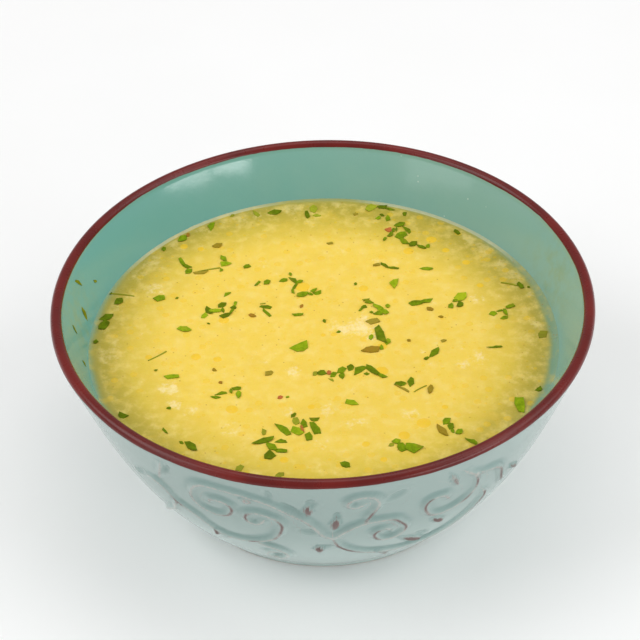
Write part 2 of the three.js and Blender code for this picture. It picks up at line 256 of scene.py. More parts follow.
# A stem runs through guides of turn, rise and how worn its glaze is.
stems = [
    [(-43.4, 49.1, 0), (-41.8, 50, 0), (-40.2, 49.8, 0), (-38.6, 47.4, 0.1), (-37.7, 44.7, 0.5),
     (-36.9, 42.2, 0.9), (-35, 40, 0.2), (-32.6, 37.4, 0), (-30.6, 33.6, 0), (-28.9, 30.9, 0),
     (-26.5, 29, 0), (-23.6, 28.4, 0), (-21, 28.9, 0.1), (-18.9, 29.9, 0.6), (-15.9, 31.9, 0.2),
     (-13.4, 34.5, 0.3), (-11.7, 37.8, 0.55), (-10.6, 42.2, 0.8), (-10.3, 45.6, 0.9),
     (-11.3, 48.6, 0.4), (-13.1, 50.5, 0.1), (-15.4, 51.4, 0.1), (-17.5, 50.2, 0.7),
     (-18.3, 47.2, 0.9), (-17.6, 44.6, 0.2), (-15.8, 44, 0.1), (-14.5, 45.8, 0.1)],
    [(0.9, 36.2, 0.1), (-0.8, 38.6, 0.1), (-1.9, 41.3, 0.1), (-3.3, 45.2, 0.2), (-5.4, 49.7, 0.3),
     (-7.5, 52.4, 0.1), (-9.6, 55.2, 0.05), (-12.9, 58.8, 0), (-17.1, 61.1, 0), (-20, 61.8, 0),
     (-23.3, 62.1, 0), (-25.8, 61.9, 0.1), (-28.2, 59.4, 0.35), (-29.8, 54.9, 0.4),
     (-30.3, 50.6, 0.45), (-29.2, 46.4, 0.15), (-26, 44.6, 0.1), (-22.8, 45.9, 0.6),
     (-21.1, 49.6, 0.75), (-21.3, 52.8, 0.5), (-23.4, 54.4, 0.2), (-25.6, 53.4, 0.45),
     (-26.2, 51.3, 0.3)],
    [(0.9, 36.2, 0.3), (1.5, 33.6, 0.5), (2.3, 31, 0.9), (4.2, 27.6, 0.9), (6.9, 24.7, 0.6),
     (10, 22.4, 0.2), (14, 20.6, 0.1), (20, 19, 0.1), (27, 19.6, 0), (33.5, 23.4, 0.1),
     (38, 30, 0.3), (39.7, 37.6, 1), (38.8, 40.5, 0.2)],
    [(1.1, 36.4, 0.1), (3.2, 40.9, 0.2), (5.5, 44, 0.2), (8, 46, 0.2), (11.4, 46.6, 0.1),
     (14.5, 45.7, 0.6), (16.4, 42.7, 0.85), (17.9, 39.2, 0.7), (17.9, 35.8, 0.3), (16.2, 32.9, 0.1),
     (13.6, 32, 0.1), (11.4, 33.9, 0.7), (10.5, 37, 0.8), (11.3, 39.4, 0.7), (13.2, 39.8, 0.3),
     (14.1, 38.4, 0.1)],
    [(8, 46.2, 0.5), (8.3, 48.4, 0.6), (9, 51.2, 1), (9.8, 54, 0.5), (10.4, 57, 0.3),
     (10.1, 60, 0.2), (8.7, 62.4, 0.15), (6.4, 62.9, 0.1), (4.3, 61, 0.25), (4, 58.4, 0.3),
     (5.6, 56.7, 0.15), (7.3, 57.6, 0.1)],
    [(29.6, 61.2, 0.1), (31.6, 58.6, 0.2), (33, 55.6, 0.5), (33.9, 51.6, 0.8), (34, 47.6, 0.3),
     (32.9, 44.2, 0.7), (30.5, 41.4, 0.2), (26.8, 40.4, 0.1), (23.8, 41.8, 0.6), (22, 45.4, 0.5),
     (21.4, 49.2, 0.9), (22, 51.9, 0.9), (23.8, 52.8, 0.2), (25.6, 51.9, 0.4), (27, 48.8, 0.4)],
    [(32.2, 58, 0.1), (35, 56.6, 0.2), (38, 55.2, 0.3), (39.8, 53.1, 0.4), (41, 50.6, 0.5),
     (41.8, 47.8, 0.6), (42.8, 44.6, 0.7), (43.9, 41.7, 0.5), (44.9, 39.2, 0.1)],
    [(-18.8, 28.8, 0.3), (-15.8, 27.6, 0.1), (-13.2, 25.6, 0.1), (-11.4, 22.6, 0.1),
     (-11, 19.6, 0.05), (-12.4, 16.9, 0.05), (-14.8, 16, 0.05), (-16.8, 17.8, 0.05),
     (-16.3, 20.4, 0.1), (-14.4, 21, 0.1)],
    [(-37, 41.4, 0.6), (-37.9, 39, 0.4), (-38.8, 37, 0.1), (-40.4, 33, 0), (-43.3, 29.1, 0),
     (-47.5, 23.5, 0), (-51.7, 17.4, 0), (-55.8, 12.4, 0), (-59, 8, 0)],
    [(-38.5, 54, 0.2), (-37.2, 57.5, 0.3), (-36.2, 61, 0.2), (-35.4, 64.5, 0)],
]
# Raised seeds: turn, rise, length, width, the lean from level, and how worn the top is.
seeds = [
    (-4.2, 55.3, 5.4, 2.2, 90, 1),
    (1.5, 46.3, 7.2, 2.3, 84, 1),
    (-2.5, 27.2, 4.9, 2.4, 96, 1),
    (27.2, 34.2, 6, 2.4, -46, 1),
    (22, 24.6, 10.1, 2.5, -44, 0.9),
    (27, 58.9, 8.7, 1.7, -66, 0.5),
    (-29.6, 27.2, 5.8, 1.7, 80, 0.9),
    (14.8, 17.4, 7.8, 1.6, -57, 0.6),
    (48, 43.4, 7.2, 1.7, -44, 0.6),
    (-16.9, 57.7, 3.8, 3, 60, 0.35),
]
# Sunk leaves: turn, rise, length, width and lean.
leaves = [
    (-11.9, 63.5, 6, 2.8, 97),
    (-4.6, 41.2, 6.6, 4, -28),
    (14, 60.2, 8.2, 3.8, 44),
    (-7.7, 55.8, 10.5, 3, 126),
    (-34.4, 62.4, 7, 2.6, 66),
    (-27.3, 26.6, 6.5, 3.4, 66),
    (-0.9, 29.8, 5.4, 3, -18),
    (-46.2, 48.2, 7.4, 3.6, 44),
    (-3.4, 59.8, 5.6, 4, 90),
    (1.8, 51.8, 4.6, 2.8, 88),
    (24.2, 27, 7, 3, -45),
    (14, 35.8, 2.6, 2.2, 0),
    (-14.6, 17.2, 3.4, 2.6, 60),
]


def through(guides):
    """A smooth line through the guides, each a turn, a rise and wear."""
    points = np.array([guides[0], *guides, guides[-1]], float)
    stretches = []
    for a, b, c, d in zip(points, points[1:], points[2:], points[3:]):
        t = np.linspace(0, 1, guide_steps, endpoint=False)[:, None]
        bend = (2 * a - 5 * b + 4 * c - d) * t**2
        stretches.append(0.5 * (2 * b + (c - a) * t + bend + (3 * b - a - 3 * c + d) * t**3))
    line = np.concatenate([*stretches, points[-1:]])
    flat = line.copy()
    flat[:, 0] *= np.radians(1) * wall_radius(line[:, 1])
    gone = along_line(flat)
    wanted = np.linspace(0, gone[-1], int(gone[-1] / stem_spacing))
    return np.stack([np.interp(wanted, gone, column) for column in line.T], axis=1)


class Relief:
    """The vine's height in millimetres at places on the wall, and what its glaze does there: the
    signed distance to the nearest crest, how worn that crest is, and how deep the glaze pools."""

    def __init__(self, turns, rises):
        self.turns, self.rises, self.radius = turns, rises, wall_radius(rises)
        self.height, self.wear, self.pool = (np.zeros(len(turns)) for _ in range(3))
        self.crest = np.full(len(turns), far_away)
        for stem in stems:
            self.raise_ridge(through(stem))
        for seed in seeds:
            self.raise_seed(*seed)
        for leaf in leaves:
            self.sink_leaf(*leaf)

    def offsets(self, turn, rise):
        """How far across and up the places lie from points of the nearest vine."""
        period = 360 / repeats
        around = (self.turns[:, None] - turn + period / 2) % period - period / 2
        return np.radians(around) * self.radius[:, None], self.rises[:, None] - rise

    def raise_ridge(self, line):
        across, up = self.offsets(line[:, 0], line[:, 1])
        nearest = np.argmin(across**2 + up**2, axis=1)
        rows = np.arange(len(nearest))
        across, up = across[rows, nearest], up[rows, nearest]
        distance = np.hypot(across, up)
        scale = np.radians(1) * wall_radius(line[:, 1])
        heading = np.gradient(line[:, :2], axis=0) * np.stack([scale, np.ones(len(line))], axis=1)
        heading /= np.hypot(*heading.T)[:, None]
        side = heading[nearest, 0] * up - heading[nearest, 1] * across

        from_end = np.minimum(nearest, len(line) - 1 - nearest) * stem_spacing
        grown = ridge_start + (1 - ridge_start) * ease(0, ridge_end, from_end)
        reach = np.clip(distance / ridge_half_width, 0, 1)
        self.height = np.maximum(self.height, ridge_height * grown * (1 - reach**2) ** 2)
        closer = distance < np.abs(self.crest)
        self.crest = np.where(closer, np.copysign(distance, side), self.crest)
        self.wear = np.where(closer, line[nearest, 2], self.wear)
        above = np.clip(0.2 + 0.9 * up / np.maximum(distance, 0.3), 0, 1)
        pooled = bell(distance, pool_offset, pool_width) * above
        self.pool = np.maximum(self.pool, pooled * grown)

    def egg(self, turn, rise, length, width, lean):
        """How far out of an egg shape the places lie, 1 at its edge, and how far above it."""
        across, up = (offset[:, 0] for offset in self.offsets(turn, rise))
        angle = math.radians(lean)
        along = (across * math.cos(angle) + up * math.sin(angle)) / (length / 2)
        aside = (up * math.cos(angle) - across * math.sin(angle)) / (width / 2)
        return np.hypot(along, aside * (1 + 0.35 * along**2)), up

    def raise_seed(self, turn, rise, length, width, lean, worn):
        out, up = self.egg(turn, rise, length, width, lean)
        self.height = np.maximum(self.height, seed_height * np.sqrt(np.clip(1 - out**2, 0, 1)))
        on_seed = out < 1.3
        from_top = np.maximum(out - 0.75, 0) * width * 0.9
        self.crest = np.where(on_seed, from_top, self.crest)
        self.wear = np.where(on_seed, worn, self.wear)
        self.pool = np.maximum(self.pool, 0.8 * bell(out, 1.5, 0.5) * (up > -0.5))

    def sink_leaf(self, turn, rise, length, width, lean):
        out, _ = self.egg(turn, rise, length, width, lean)
        self.height -= leaf_depth * np.clip(1 - out**2, 0, 1)
        self.height += leaf_rim * bell(out, 1.25, 0.25)
        self.pool = np.maximum(self.pool, 0.6 * (1 - ease(0.55, 1.25, out)))


# ---------------------------------------------------------------- the bowl


def bowl_profile():
    """From the axis under the foot, up the outside, over the lip and down to the floor."""
    ring_inside = foot_radius - foot_ring_width
    fillet, ring_corner = 1.2, 0.8
    lip_out, lip_in = wall_outside[-1], wall_inside[-1]
    lip_middle = (lip_out + lip_in) / 2
    lip_half_width = (lip_out[0] - lip_in[0]) / 2
    heights = np.linspace(bowl_height - 2.6, soup_level - 2, 9)
    return np.concatenate([
        [(0, foot_recess), (20, foot_recess), (ring_inside - 2 * fillet, foot_recess)],
        arc((ring_inside - 2 * fillet, foot_recess - fillet), fillet, fillet, 90, 20, 4),
        [(ring_inside - 0.6, 0.5)],
        arc((ring_inside + 0.2, 0.5), 0.6, 0.5, 215, 270, 3),
        arc((foot_radius - ring_corner, ring_corner), ring_corner, ring_corner, 270, 360, 5),
        [(foot_radius + 0.1, foot_top - 1.3), (foot_radius + 0.5, foot_top - 0.5)],
        spaced(wall_outside, 96),
        arc(lip_middle, lip_half_width, bowl_height - lip_middle[1], 15, 165, 11),
        [lip_in],
        np.stack([inside_radius(heights), heights], axis=1),
        spaced(wall_inside[wall_inside[:, 1] < soup_level - 3], 9)[::-1],
        [(0, floor_height)],
    ])


def make_bowl():
    bowl = spun("stoneware_bowl", bowl_profile(), bowl_turns)
    places = corners_of(bowl)
    radius, height = np.hypot(places[:, 0], places[:, 1]), places[:, 2]
    on_wall = (height >= foot_top - slack) & (height <= wall_top + slack)
    on_wall &= np.abs(radius - outside_radius(height)) < 5 * slack
    rises = np.interp(height[on_wall], wall_outside[:, 1], wall_rises)
    turns = np.degrees(np.arctan2(places[on_wall, 0], -places[on_wall, 1]))
    vine = Relief(turns, rises)
    fade = ease(1, 5, rises) * (1 - ease(wall_length - 2.5, wall_length - 0.5, rises))

    lift = vine.height * fade
    slope = np.gradient(wall_outside, axis=0)
    slope /= np.hypot(*slope.T)[:, None]
    out = np.interp(rises, wall_rises, slope[:, 1])
    down = np.interp(rises, wall_rises, slope[:, 0])
    shift = np.zeros_like(places)
    shift[on_wall, :2] = places[on_wall, :2] / radius[on_wall, None] * (lift * out)[:, None]
    shift[on_wall, 2] = -lift * down
    move_corners(bowl, places + shift)

    def everywhere(values, elsewhere):
        full = np.full(len(places), float(elsewhere))
        full[on_wall] = values
        return full

    paint(
        bowl,
        crest=everywhere(vine.crest, far_away),
        wear=everywhere(vine.wear * fade, 0),
        pool=everywhere(vine.pool * fade, 0),
        inside=(radius < outside_radius(height) - 2) & (height > foot_recess + 1),
    )
    return bowl


# ---------------------------------------------------------------- the soup

swell_height = 0.1
curd_height = 0.22
drop_height = 0.16
# Patches of pale curd: x, y, reach and how pale.
curds = [
    (11.5, 6.5, 6, 1), (7, 4, 5, 0.9), (14, 3, 5, 0.8), (5, 8, 5, 0.6), (-45.5, -20, 4.5, 1),
    (-43.5, -27, 3, 0.9), (-38.5, -30.5, 3, 0.7), (8, -36.5, 4.5, 0.7), (-9, -13.5, 3.5, 0.8),
    (1, -31.5, 4, 0.7), (25, -34, 4, 0.6), (-10.5, -31.5, 3, 0.9), (-27, -38, 5, 0.5),
    (-51.5, 26, 4, 0.7), (-18.5, 37.5, 3.5, 0.7), (47, 18, 3.5, 0.8), (45.5, -10, 5, 0.7),
    (56.5, 35, 2.5, 1), (60, 28, 4.5, 0.8), (64, 19, 2, 1), (50.5, 43, 4, 0.9), (47, 47, 3.5, 0.7),
    (5, 68, 2.5, 0.7), (-9, 66, 4, 0.8), (-25.5, 62, 3.5, 0.8), (-20, 62, 3, 0.6),
    (-54, 41, 5, 0.7), (-58, 34, 4.5, 0.7), (41, -12.5, 3.5, 0.6), (29.5, -6.5, 1.5, 0.8),
    (16.7, 37, 3, 0.5), (4, 43, 5, 0.4), (-47, 50, 3.5, 0.7), (-38, 57, 4, 0.7), (-64, 18, 4, 0.6),
    (-65, -4, 5, 0.7), (-2, -46, 4, 0.4), (65, 5, 3.5, 0.5),
]
# Large drops of fat: x, y and radius.
drops = [
    (-27, -29.8, 1.7), (28, -37.8, 2), (22.2, -42.8, 1.6), (-38, -6, 1.4), (-31.6, -7.4, 1.2),
    (-4, -29.6, 1), (-6, 25.6, 2.2), (12.8, 24, 1.4), (35, 47.6, 1.6), (27.5, 42, 1.6),
    (45.2, 35.6, 1.2), (39.2, 42, 1.1), (-43.2, 47.5, 1.2), (-37.8, 46, 1), (17, -14.6, 1.8),
    (48.7, 24, 1), (34.5, -31.2, 0.9), (0, 2.3, 0.7), (3.2, 2.4, 0.9), (-12, -51.5, 1.2),
    (-52, -5.6, 1), (-30, 10.6, 1.6), (17.5, -3.6, 1.4), (11.2, -46, 1.1), (16, -52.5, 1),
]


def soup_profile():
    """From the axis at the floor, up the wall, down the meniscus and in along the level."""
    top = soup_level + meniscus_rise
    heights = floor_height + (top - floor_height) * np.linspace(0.02, 1, 12) ** 1.5
    side = np.stack([inside_radius(heights) + soup_sunk, heights], axis=1)
    edge = side[-1, 0]
    climb = np.linspace(1, 0, 8)[1:]
    meniscus = np.stack([edge - meniscus_reach * (1 - climb), soup_level + meniscus_rise * climb**3],
                        axis=1)
    flat = np.linspace(edge - meniscus_reach, 0, 122)[1:]
    level = np.stack([flat, np.full(len(flat), float(soup_level))], axis=1)
    return np.concatenate([[(0, floor_height - 0.1)], side, meniscus, level])


def ripple(x, y, size, seed):
    """Smooth unevenness from -1 to 1 with bumps of about the size."""
    return np.array([noise.noise(Vector((a / size, b / size, seed))) for a, b in zip(x, y)])


def make_soup():
    soup = spun("yellow_soup", soup_profile(), soup_turns)
    places = corners_of(soup)
    x, y = places[:, 0], places[:, 1]
    curd = np.zeros(len(places))
    for curd_x, curd_y, reach, pale in curds:
        far = np.hypot(x - curd_x, y - curd_y) / reach
        curd = np.maximum(curd, pale * (1 - ease(0.3, 1.15, far)))
    drop = np.full(len(places), far_away)
    for drop_x, drop_y, size in drops:
        drop = np.minimum(drop, np.hypot(x - drop_x, y - drop_y) - size)

    top = places[:, 2] > soup_level - slack
    x, y = x[top], y[top]
    still = 1 - ease(62, 67, np.hypot(x, y))
    lift = swell_height * ripple(x, y, 9, 3) * still
    lift += curd_height * curd[top] * np.clip(ripple(x, y, 1.8, 8) + 0.15, 0, 1)
    lift += drop_height * np.clip(-drop[top], 0, 1)
    places[top, 2] += lift
    move_corners(soup, places)
    paint(soup, curd=curd, drop=drop)
    return soup


# ---------------------------------------------------------------- parsley

leaf_thickness = 0.17
stuck_thickness = 0.16
scrap_thickness = 0.3
stalk_radius = 0.24
spread = 1.15  # of a torn piece, whose corners alone reach its length and width
pattern_count = 13
# Heights of the middles above the soup's level
sunk_height = 0.05
afloat_height = 0.1
scrap_height = 0.14
# How much a film of soup takes of the colour
sunk_film = 0.25
stuck_film = 0.1
# Chopped leaves: x, y, length, width, heading and tone, from 0, dark, to 1, bright.
leaves_afloat = [
    # along the back edge, from the left
    (-62.1, 33.8, 1.9, 1.1, 95, 0), (-49.6, 46.3, 1.7, 1.3, 70, 0.3), (-43.9, 51.4, 3.3, 2.4, 35, 0.5),
    (-34.7, 57.2, 3.8, 2.2, 95, 0.45), (-14.5, 64, 4.2, 2.5, 15, 0.1), (-4, 62.3, 3.6, 1.4, 90, 0.15),
    (20.2, 65.2, 2.8, 1.6, 0, 0.1), (22.6, 64, 3, 0.9, -25, 0.2), (19.9, 61, 1.3, 1.2, 0, 0),
    (21.8, 59.3, 2.8, 1.5, 80, 0.4), (18.8, 59.4, 1.7, 1.2, 40, 0.5), (27.2, 61.2, 1.7, 1.2, 90, 0.2),
    (43.2, 51.1, 2.4, 1.2, -50, 0.1), (61, 23.4, 3, 1.4, -65, 0.2), (63.4, 22.3, 0.9, 0.7, 90, 0.1),
    # a curled strand at the back right
    (25.3, 55.8, 3.2, 2.1, 5, 0.2), (27.4, 53.1, 3.8, 1.7, -48, 0.2), (24.2, 53.3, 2, 0.6, 85, 0.3),
    (25.5, 50, 3.6, 2.8, 10, 0.35), (26.3, 46.9, 3.6, 1.8, -62, 0.35), (29.1, 45.6, 2.8, 2.2, 20, 0.1),
    (31.6, 44, 3.2, 1.3, -25, 0.15), (33.8, 44.3, 1.9, 1.3, 55, 0.5), (22.3, 50.6, 2.5, 1.3, 60, 0.25),
    (20.3, 48.4, 1.9, 0.9, 70, 0.4), (23.2, 52.8, 2, 0.8, 85, 0.2), (19.5, 35.4, 2.8, 1, -45, 0.15),
    (22, 33.8, 3.8, 0.9, -15, 0.15), (32.6, 32.9, 3.7, 1.4, -12, 0.5), (22.4, 25.7, 4, 2.7, 95, 0.75),
    (10.4, 26.2, 1.4, 0.9, 80, 0.2),
    # two clumps joined by a stem at the back left
    (-43.5, 39.5, 3.8, 1.3, 105, 0.4), (-42, 37.2, 3, 1.4, -35, 0.25), (-41.3, 34.8, 2.3, 2.1, 20, 0.4),
    (-30.6, 40.9, 2.8, 1.6, -40, 0.45), (-29.8, 37.9, 3.2, 2.2, -10, 0.65),
    (-31.1, 34.9, 1.3, 0.9, 80, 0.4), (-23.2, 36.3, 2.1, 1.6, 40, 0.3),
    # behind the middle
    (-19.9, 27.6, 2.4, 0.8, 60, 0.3), (-17, 28.2, 2.2, 1.7, 70, 0.3), (-11.9, 29.1, 2.3, 1.6, 0, 0.35),
    (-9.7, 31.9, 1.4, 0.9, 90, 0.4), (-9, 29.2, 3, 1.8, -35, 0.2), (-6.9, 28.1, 2.1, 1.4, 10, 0.4),
    (-8.3, 25.8, 3.4, 0.9, 62, 0.3), (-9, 23.3, 2, 0.8, -80, 0.4), (-6, 21.9, 3.4, 2.4, 5, 0.45),
    (-3.6, 22, 1.6, 1.2, 0, 0.4), (-2.4, 23.7, 2.2, 1.3, 30, 0.4), (-1.3, 22.3, 2.6, 1.4, 25, 0.4),
    (-17.3, 16.2, 3.4, 1.3, -10, 0.15), (-17.1, 13.6, 4, 0.9, -55, 0.35), (-7.6, 12.2, 3.1, 1.1, 5, 0.4),
    (0.4, 8.7, 1.3, 0.9, 80, 0.15), (4.6, 3.5, 1.2, 1, 0, 0.2),
    # left of the middle
    (-29.3, 22.8, 2.4, 1.4, 60, 0.5), (-34.6, 15.2, 3.6, 2.2, -60, 0.1), (-32.8, 15, 3.6, 1.7, -12, 0.7),
    (-35.8, 12.9, 2.6, 1.5, 60, 0.75), (-30.6, 17.8, 2.6, 2, 15, 0.1), (-30.3, 15.3, 2.2, 0.8, -70, 0.3),
    (-29.3, 12.7, 3.6, 2, 20, 0.05), (-27, 16.4, 1.7, 1.5, 45, 0.1), (-26.6, 18.2, 2, 0.9, 85, 0.6),
    (-27.7, 14.6, 2, 0.8, 70, 0.3), (-50, 21.9, 3.2, 2.3, 20, 0.45), (-44.6, 21.8, 0.9, 0.8, 0, 0.2),
    (-62.5, 20.9, 3, 2.5, 30, 0.15), (-65.3, 25.1, 1.6, 1.1, -50, 0.05), (-65.6, 13.4, 4.2, 2.6, 30, 0.15),
    (-66.3, 9.5, 3.8, 3, 40, 0.1), (-68.2, 2, 1.6, 1.3, 60, 0.1), (-41.8, 6.8, 3.8, 2.2, -28, 0.65),
    (-34.6, 9.1, 1, 0.5, -20, 0.2),
    # right of the middle
    (14.2, 17.2, 2.6, 1.5, -30, 0.3), (13.4, 18.3, 2, 0.8, 5, 0.4), (12.6, 15, 1.7, 1.2, 30, 0.2),
    (11.6, 13.8, 1.6, 0.7, 60, 0.3), (16.8, 14.9, 3.6, 1.4, -38, 0.6), (18.4, 12.8, 3.4, 1.9, -52, 0.6),
    (19.8, 15.1, 1.7, 1.3, 70, 0.6), (16.6, 11.6, 2.4, 1.8, 15, 0.35), (14.8, 12.3, 1.1, 0.9, 0, 0.4),
    (28.4, 16.1, 3.8, 2.2, -5, 0.25), (31.8, 17, 3.8, 1.6, 12, 0.4), (42.3, 18.6, 4.3, 3.2, 25, 0.9),
    (40.4, 16.8, 1.4, 1.2, 60, 0.4), (39.2, 14.4, 2.3, 1.7, 60, 0.4), (42, 14.9, 2.8, 1.7, 70, 0.15),
    (57, 13.4, 2.8, 1.6, 35, 0.4), (53.6, 11.4, 1.7, 0.6, 20, 0.4), (51.5, 10.2, 2.1, 1.8, 40, 0.55),
    (55.3, 10.5, 3, 1.1, 95, 0.4), (54.8, 8.1, 2.3, 1.2, 10, 0.4), (50.7, -5.5, 4.2, 0.9, 8, 0.25),
    (32.8, -7.2, 4.7, 2, 55, 0.25), (30.3, -9.7, 1.5, 1.2, 20, 0.2),
    # the middle
    (17, 1.6, 7.4, 2.5, -78, 0.15), (14.3, 0.7, 2, 1.3, 60, 0.55), (19.1, -1.6, 2.5, 1.8, 100, 0.55),
    (17.3, -4.2, 2, 1.2, 80, 0.45), (-6.8, -3.2, 5.4, 3.2, 28, 0.6),
    # a long row before the middle
    (-0.8, -15, 2.3, 2.1, 30, 0.15), (2.6, -16, 2.1, 1.4, 70, 0.3), (5, -14, 3, 2, 60, 0.4),
    (5, -16.6, 2.1, 1.6, 70, 0.3), (7.6, -13, 2.6, 2, 60, 0.15), (10.2, -14.4, 4.4, 2.8, 62, 0.3),
    (12.4, -15.9, 1.5, 1.1, 0, 0.3), (14, -14.2, 5, 2, -60, 0.15), (16.9, -17, 2.9, 1.3, -38, 0.35),
    (22.1, -20.7, 3.1, 1.9, -10, 0.2), (25.2, -20, 3.8, 1.8, 95, 0.25), (7.6, -28.4, 3.8, 2.2, -38, 0.7),
    # front right
    (62.3, -24.8, 2.2, 1.4, 40, 0.1), (56.2, -31.3, 6, 2.8, 98, 0.6), (34.5, -37.5, 2.5, 1.9, 80, 0.4),
    (35.6, -39.6, 2.3, 1.6, 90, 0.25), (36, -41.6, 1.6, 1, 90, 0.4), (37.8, -41.9, 2.2, 1.8, 20, 0.45),
    (41, -46, 3.6, 1.6, -25, 0.3), (19.8, -45.3, 2.3, 1.9, 10, 0.6), (21.3, -47.8, 3.2, 2.4, 80, 0.4),
    (24.5, -48.2, 4.6, 3.4, -25, 0.45), (5.2, -54.2, 2.8, 2.2, -60, 0.2),
    # front left
    (-9.3, -33, 2, 1.2, 75, 0.2), (-6.2, -36.8, 3.4, 1.9, 85, 0.3), (-3.2, -35.2, 2.6, 1.4, 0, 0.2),
    (-3.2, -38.8, 5, 2.2, -65, 0.3), (-5, -42.2, 2.9, 1.9, -75, 0.35), (-8.3, -39.7, 3.8, 2.5, -40, 0.7),
    (-12.2, -38.8, 5.6, 2, -58, 0.4), (-18, -43.5, 6, 1.9, 15, 0.2), (-13, -44, 3, 1.8, 15, 0.3),
    (-15.6, -46, 4, 2.2, -45, 0.4), (-13, -47.9, 3.4, 1.5, -20, 0.3), (-16, -49.6, 3.2, 2.8, 60, 0.05),
    (-38.3, -45, 4.6, 2.2, -62, 0.15), (-41.2, -43.3, 1.4, 0.9, -20, 0.2), (-46, -38.4, 2.7, 0.7, -60, 0.3),
    (-58.6, -31.3, 3, 1.7, -35, 0.1), (-45.3, -28.6, 1.2, 0.9, 0, 0.3), (-45, -14.8, 3.9, 1.6, 10, 0.65),
    (-25.8, -20.8, 2.5, 1.2, 5, 0.3), (-27.4, -22, 1.7, 0.9, 80, 0.25), (-25.2, -23.5, 3.1, 1.4, 82, 0.6),
    (-30.4, -22.9, 3.3, 1.2, 22, 0.35), (-31.8, -24.4, 2.7, 1.1, -5, 0.35), (-10.9, -25.2, 0.9, 0.7, 0, 0.4),
    (-49.7, -11.8, 0.9, 0.7, 0, 0.2),
]
# Leaves just under a film of soup, as above.
leaves_sunk = [
    (-2, 65.4, 3.7, 2.4, 75, 0.5), (-1, 61.8, 2.4, 1.4, 10, 0.5), (-20.4, 63.6, 3.5, 1.5, 115, 0.4),
    (-28, 63, 1.7, 1, 70, 0.3), (16.4, 65, 3.6, 2.8, 60, 0.6), (65.6, -0.3, 3, 2.4, 80, 0.05),
    (-24.6, -54.4, 2.3, 1.8, 60, 0.3), (-13.5, -57.6, 2.6, 1.4, 10, 0.2), (-2.8, -15.2, 1.7, 1.4, 40, 0.3),
    (1.9, -18, 1.6, 1.1, -20, 0.4), (18.4, -46.6, 1.7, 1.3, 40, 0.4), (-8.5, -35.6, 2.9, 2, 80, 0.4),
    (-17.7, -39.8, 2.4, 1.2, 90, 0.3),
]
# Browned scraps: x, y, length, width, heading and tone, from 0, olive, to 1, rust.
scraps = [
    (-32.6, 47.4, 3, 2.1, 25, 0.3), (-42, 53.3, 1.6, 1.1, 70, 0.6), (-37.5, 33.8, 4.2, 1.2, 5, 0.1),
    (-21.3, 12.3, 2, 1.3, -40, 0.5), (-6.4, 16.2, 1.6, 0.9, 85, 0.6), (11.5, 61.8, 1.3, 1.2, 0, 0.1),
    (21.8, 53, 2, 1.7, 20, 1), (17.2, 35.4, 2.1, 1.2, 20, 0.2), (15, 8, 3.4, 2.2, 25, 0.1),
    (32.6, 13.2, 1.9, 1.3, -15, 0.4), (13.9, -4.9, 4.7, 2.6, -8, 0.45), (30.6, -23.6, 3.4, 1.5, 70, 0.3),
    (22.5, -22.7, 4.6, 0.9, -35, 0.1), (33, -41.2, 5, 2, -58, 0.35), (1.4, -15, 1.6, 1.3, 60, 0.9),
    (-6.8, -39, 2.8, 0.8, -78, 0.8), (-13, -25.2, 1.4, 1.3, 0, 1), (-16.4, -14.5, 2.3, 1.9, 70, 0.1),
    (35.9, -1.9, 1.6, 1.2, 0, 0.1), (-32.5, -12.3, 1.4, 0.9, -60, 0.4), (-30.5, -18, 1, 0.9, 0, 0.6),
    (2.9, 46.9, 1.7, 0.8, 10, 0.1), (25.5, -1.3, 1, 0.8, 0, 0.4), (35.7, 9.4, 1.3, 0.8, -30, 0.3),
]
# Thin stems: x, y, length and heading.
stalks = [
    (-35, 35.3, 7.2, 13), (-61.4, 24, 7.6, 168), (57.6, 24.1, 5.2, 160), (27.8, -23.1, 4.6, 35),
    (-49.5, -5.3, 6.6, 37), (-18.2, 17.9, 1.6, 10),
]
# Scraps dried on the inside of the wall: turn, height, length, width and lean.
stuck = [
    (-97, 53.5, 4.2, 1.5, 100), (-102, 60, 3.6, 1.2, 70), (-88, 57, 2.6, 1, 110),
    (-80, 52, 2, 0.8, 95), (-108, 55, 1.6, 0.8, 40),
]


def flake_pattern(seed):
    """A torn piece of leaf a millimetre long and wide, lying flat at the origin."""
    bpy.ops.object.select_all(action="DESELECT")
    bpy.ops.mesh.primitive_circle_add(vertices=5 + seed % 3, radius=0.5, fill_type="TRIFAN")
    flake = bpy.context.object
    flake.name = f"flake_pattern_{seed}"
    for i, corner in enumerate(flake.data.vertices):
        if corner.co.length > 0.1:
            corner.co *= 0.45 + 0.65 * chance(seed * 31 + i)
    cut_finer(flake, 2, fractal=0.12, seed=seed)
    for axis in (0, 1):
        along = [corner.co[axis] for corner in flake.data.vertices]
        low, high = min(along), max(along)
        for corner in flake.data.vertices:
            corner.co[axis] = (corner.co[axis] - low) / (high - low) - 0.5
    return flake


def lay(pattern, length, width, thickness, place, seed, name):
    """A copy of the flat pattern at its size, curled, thickened and put in its place."""
    flake = pattern.copy()
    flake.data = pattern.data.copy()
    flake.name = name
    scene.collection.objects.link(flake)
    curl = 0.08 + 0.14 * chance(seed + 5)
    fold = 2 * math.pi * chance(seed + 6)
    for corner in flake.data.vertices:
        x, y = corner.co.x * length * spread, corner.co.y * width * spread
        along = x * math.cos(fold) + y * math.sin(fold)
        wave = noise.noise(Vector((x * 0.7, y * 0.7, seed * 1.7)))
        lift = curl * along**2 / length + 0.2 * wave
        corner.co = place @ Vector((x * mm, y * mm, lift * mm))
    only(flake)
    solid = flake.modifiers.new("thickness", "SOLIDIFY")
    solid.thickness = thickness * mm
    solid.offset = 0
    bpy.ops.object.modifier_apply(modifier="thickness")
    return flake


